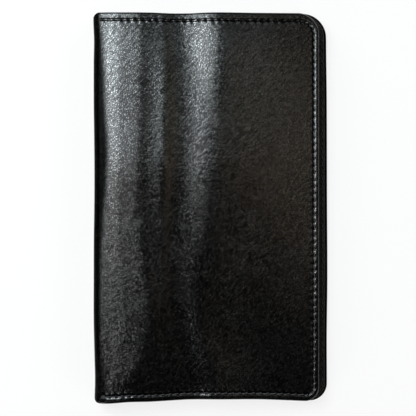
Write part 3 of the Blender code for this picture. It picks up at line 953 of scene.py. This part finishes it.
innerLeather = dict(
    coverLeather, black=(0.0034, 0.0031, 0.0029), warmBlack=(0.0052, 0.0043, 0.0036), paintedPoreShade=0.4,
    roughness=(0.40, 0.52), gloss=(0.15, 0.5), pebbleHeight=0.010 * mm, wrinkleHeight=0.014 * mm, onCover=False,
)
blackCotton = {
    "colour": (0.0064, 0.0063, 0.0064),
    "roughness": 0.85,
    "sheen": 0.06,
    "weaveScale": 800,
    "weaveWander": 0.4,
    "weaveDepth": 0.08 * mm,
    "weaveStrength": 0.8,
    "lighter": 1.9,
}
greyThread = {
    "colour": (0.030, 0.031, 0.034),
    "roughness": 0.38,
    "gloss": 0.36,
    "plyTurn": 0.6,
    "plyStretch": (900, 2600, 1500),
    "plyDepth": 0.06 * mm,
    "plyStrength": 0.7,
    "lighter": 1.8,
}
# the grey thread darkened as painted shade, for the seams inside the wallet
shadeDarkenedThread = dict(greyThread, colour=(0.012, 0.012, 0.013))
greyBoard = {"colour": (0.30, 0.26, 0.20), "roughness": 0.9, "fleckScale": 900, "darker": 0.7}
rawEdge = {
    "colour": (0.040, 0.021, 0.012),
    "roughness": 0.6,
    "fibreStretch": (600, 600, 4000),
    "fibreDepth": 0.06 * mm,
    "fibreStrength": 0.6,
    "darker": 0.4,
}


def clothFinish(name, look):
    material, tree, shader = newMaterial(name, look["colour"], look["roughness"])
    shader.inputs["Sheen Weight"].default_value = look["sheen"]
    waves = {"Vector": placeOn(tree), "Scale": look["weaveScale"], "Distortion": look["weaveWander"]}
    across = node(tree, "ShaderNodeTexWave", waves, bands_direction="X").outputs["Fac"]
    down = node(tree, "ShaderNodeTexWave", waves, bands_direction="Y").outputs["Fac"]
    weave = sums(tree, "MULTIPLY", across, down)
    emboss(tree, shader, weave, look["weaveDepth"], look["weaveStrength"])
    twoTone(tree, shader, weave, look["colour"], scaled(look["colour"], look["lighter"]))
    return material


def threadFinish(name, look):
    material, tree, shader = newMaterial(name, look["colour"], look["roughness"])
    shader.inputs["Specular IOR Level"].default_value = look["gloss"]
    plies = softNoise(tree, placeOn(tree, look["plyTurn"], look["plyStretch"]), 1.0, 2.0)
    emboss(tree, shader, plies, look["plyDepth"], look["plyStrength"])
    twoTone(tree, shader, plies, look["colour"], scaled(look["colour"], look["lighter"]))
    return material


def boardFinish(name, look):
    material, tree, shader = newMaterial(name, look["colour"], look["roughness"])
    flecks = softNoise(tree, placeOn(tree), look["fleckScale"], 5.0, 0.7)
    twoTone(tree, shader, flecks, scaled(look["colour"], look["darker"]), look["colour"])
    return material


def rawFinish(name, look):
    # cut edge of the inner leather
    material, tree, shader = newMaterial(name, look["colour"], look["roughness"])
    fibres = softNoise(tree, placeOn(tree, 0.0, look["fibreStretch"]), 1.0, 4.0, 0.7)
    twoTone(tree, shader, fibres, scaled(look["colour"], look["darker"]), look["colour"])
    emboss(tree, shader, fibres, look["fibreDepth"], look["fibreStrength"])
    return material


# Studio
studio = {
    "cameraPlace": (-1.2 * mm, -0.6 * mm, 1.0),
    "lens": 186.66,
    "clip": (0.01, 50),
    "lamps": {
        # name: place, width and length, aim, watts, colour
        "window": ((-0.23, 0.170, 0.62), (0.26, 0.25), (-0.23, 0.170, 0), 3.0, (0.91, 1.0, 1.04)),
        "windowFoot": ((-0.23, 0.020, 0.62), (0.26, 0.05), (-0.23, 0.020, 0), 0.38, (1.0, 1.0, 0.97)),
        "softFill": ((0.06, 0.14, 0.62), (0.14, 0.18), (0.06, 0.14, 0), 0.074, (0.93, 1.03, 1.04)),
        "warmFill": ((0.13, 0.05, 0.62), (0.13, 0.18), (0.13, 0.05, 0), 0.084, (1.0, 0.79, 0.56)),
        "lowFill": ((0.17, -0.14, 0.62), (0.14, 0.18), (0.17, -0.14, 0), 0.011, (0.86, 1.0, 1.16)),
        "backLeftBank": ((-0.85, 0.85, 0.5), (0.7, 0.7), (0, 0, 0), 6.0, (1.0, 1.0, 1.0)),
        "backRightBank": ((0.85, 0.85, 0.5), (0.7, 0.7), (0, 0, 0), 6.0, (1.0, 1.0, 1.0)),
        "frontLeftBank": ((-0.85, -0.85, 0.5), (0.7, 0.7), (0, 0, 0), 5.0, (1.0, 1.0, 1.0)),
        "frontRightBank": ((0.85, -0.85, 0.5), (0.7, 0.7), (0, 0, 0), 5.0, (1.0, 0.98, 0.95)),
    },
    "roomLevel": 0.015,
    "horizon": (0.10, 0.32),  # height in the room over which its pale walls give way to a dark ceiling
    "floorSize": 4.0,
    "floorDrop": 0.02 * mm,
    "floorGrey": 0.9,
    "floorRoughness": 0.9,
    "floorGloss": 0.1,
    "floorGlow": 0.8,  # share of plain white that the camera and mirrors see in it
}


def lightStudio():
    for name, (place, size, aim, power, colour) in studio["lamps"].items():
        lamp = bpy.data.lights.new(name, "AREA")
        lamp.shape, lamp.energy, lamp.color = "RECTANGLE", power, colour
        lamp.size, lamp.size_y = size
        holder = bpy.data.objects.new(name, lamp)
        holder.location = place
        holder.rotation_euler = (Vector(aim) - Vector(place)).to_track_quat("-Z", "Y").to_euler()
        holder.visible_camera = False
        bpy.context.scene.collection.objects.link(holder)
    world = bpy.data.worlds.new("room")
    world.use_nodes = True
    bpy.context.scene.world = world
    tree = world.node_tree
    background = tree.nodes["Background"]
    rays = node(tree, "ShaderNodeLightPath").outputs
    direction = node(tree, "ShaderNodeTexCoord").outputs["Generated"]
    height = node(tree, "ShaderNodeSeparateXYZ", {0: direction}).outputs["Z"]
    walls = spread(tree, height, *studio["horizon"], 1.0, 0.0)
    mirrored = sums(tree, "MULTIPLY", rays["Is Glossy Ray"], walls)
    seen = sums(tree, "ADD", rays["Is Camera Ray"], sums(tree, "ADD", rays["Is Transmission Ray"], mirrored))
    level = spread(tree, seen, 0.0, 1.0, studio["roomLevel"], 1.0)
    background.inputs["Color"].default_value = (1, 1, 1, 1)
    tree.links.new(level, background.inputs["Strength"])


def layFloor():
    bm = bmesh.new()
    bmesh.ops.create_grid(bm, x_segments=2, y_segments=2, size=studio["floorSize"])
    bmesh.ops.translate(bm, verts=bm.verts, vec=(0, 0, -studio["floorDrop"]))
    material, tree, shader = newMaterial("paleFloor", 3 * (studio["floorGrey"],), studio["floorRoughness"])
    shader.inputs["Specular IOR Level"].default_value = studio["floorGloss"]
    rays = node(tree, "ShaderNodeLightPath").outputs
    white = node(tree, "ShaderNodeEmission", {"Color": (1, 1, 1, 1), "Strength": 1.0})
    mirrored = sums(tree, "ADD", rays["Is Glossy Ray"], rays["Is Transmission Ray"])
    share = sums(tree, "MULTIPLY", sums(tree, "ADD", rays["Is Camera Ray"], mirrored), studio["floorGlow"])
    mixed = node(tree, "ShaderNodeMixShader", {0: share})
    tree.links.new(shader.outputs[0], mixed.inputs[1])
    tree.links.new(white.outputs[0], mixed.inputs[2])
    tree.links.new(mixed.outputs[0], tree.nodes["Material Output"].inputs["Surface"])
    floor = pieceFrom(bm, "floor", [material])


def placeCamera():
    camera = bpy.data.cameras.new("overhead")
    camera.lens = studio["lens"]
    camera.clip_start, camera.clip_end = studio["clip"]
    holder = bpy.data.objects.new("overhead", camera)
    holder.location = studio["cameraPlace"]
    bpy.context.scene.collection.objects.link(holder)
    bpy.context.scene.camera = holder
    bpy.context.scene.view_settings.view_transform = "Standard"


# Making
def makeWallet():
    hide = coverFinish("blackHide", coverLeather)
    softHide = coverFinish("innerHide", innerLeather)
    raw = rawFinish("rawEdge", rawEdge)
    cloth = clothFinish("blackCotton", blackCotton)
    cotton = threadFinish("greyBlackThread", greyThread)
    darkCotton = threadFinish("shadeDarkenedThread", shadeDarkenedThread)
    board = boardFinish("greyBoard", greyBoard)

    back = outerCover("backOuterLeather", backHalf, hide)
    front = outerCover("frontOuterLeather", frontHalf, hide)
    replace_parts(back, "back_cover", "back_fold_leather", "spine_cover")
    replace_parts(front, "front_cover", "front_fold_leather")
    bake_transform(back)
    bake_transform(front)
    print("outer leather done")

    backCloth = liningSheet("backLiningCloth", backHalf, cloth)
    frontCloth = liningSheet("frontLiningCloth", frontHalf, cloth)
    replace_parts(backCloth, "back_lining", "spine_lining")
    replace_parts(frontCloth, "front_lining")
    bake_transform(backCloth)
    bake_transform(frontCloth)
    print("linings done")

    leathers = [softHide, raw]
    panel = (inside["panelMouth"], None, inside["panelDepth"], inside["panelLeather"], leathers)
    pocket = (inside["shortMouth"], None, inside["pocketDepth"], inside["pocketLeather"], leathers, True)
    made = [
        ("backSlipPocket", backHalf, panel, "back_slip_pocket"),
        ("cardPanel", frontHalf, panel, "card_panel"),
        ("backShortPocket", backHalf, pocket, "back_short_pocket"),
    ]
    mouths = inside["slotMouths"]
    for number, mouth in enumerate(mouths):
        end = None if mouth == mouths[-1] else mouth + inside["slotStrip"]
        slot = (mouth, end, inside["pocketDepth"] + number * inside["slotRise"], inside["slotLeather"], leathers)
        made.append((f"cardSlot{number + 1}", frontHalf, slot, f"card_slot_{number + 1}"))
    for name, half, sizes, solid in made:
        piece = innerPiece(name, half, *sizes)
        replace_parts(piece, solid)
    for number, mouth in enumerate(mouths[:-1]):
        depth = inside["pocketDepth"] + number * inside["slotRise"]
        start, end = mouth + inside["slotStrip"] + inside["clothGap"], mouth + inside["cardWidth"]
        piece = innerPiece(f"cardSlot{number + 1}Cloth", frontHalf, start, end, depth, inside["slotCloth"], [cloth])
        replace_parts(piece, f"card_slot_{number + 1}_lining")
    print("pockets done")

    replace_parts(outerSeam("backSeamStitches", backHalf, cotton), "back_seam_thread")
    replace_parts(outerSeam("frontSeamStitches", frontHalf, cotton), "front_seam_thread")
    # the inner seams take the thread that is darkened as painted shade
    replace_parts(innerSeam("backPocketStitches", backHalf, darkCotton), "back_inner_thread")
    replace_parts(innerSeam("frontPocketStitches", frontHalf, darkCotton), "front_inner_thread")
    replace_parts(dividerSeam("cardDividerStitches", frontHalf, darkCotton), "card_divider_thread")
    print("seams done")

    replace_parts(stiffBoard("frontBoard", frontHalf, board), "front_stiffener")
    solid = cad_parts["back_stiffener"]
    solid.data.materials.clear()
    solid.data.materials.append(board)


placeCamera()
lightStudio()
layFloor()
makeWallet()
